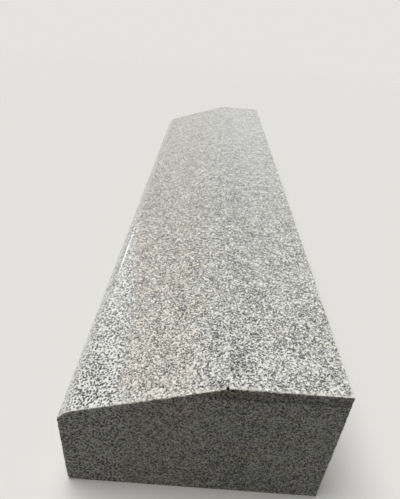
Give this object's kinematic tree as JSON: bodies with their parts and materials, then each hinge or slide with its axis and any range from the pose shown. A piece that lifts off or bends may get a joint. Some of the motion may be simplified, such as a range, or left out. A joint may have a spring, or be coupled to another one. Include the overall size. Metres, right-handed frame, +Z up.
{
  "type": "granite kerb stone",
  "caption": "Straight sawn granite kerb, stored on its back: battered face, bevelled and eased nose, flat strip, plain sides and square sawn ends.",
  "frame": {"origin": "middle of the underside, which is the stone's back once it is laid upright", "axes": "+X across the stone from its low side to its tall side, +Y along its length, +Z up from the underside as stored"},
  "size_m": [0.25, 1, 0.15],
  "materials": {
    "granite": "fine sawn and lightly honed, light grey with small dark grains"
  },
  "bodies": {
    "root": {"kerb_stone": "granite"}
  },
  "joints": []
}
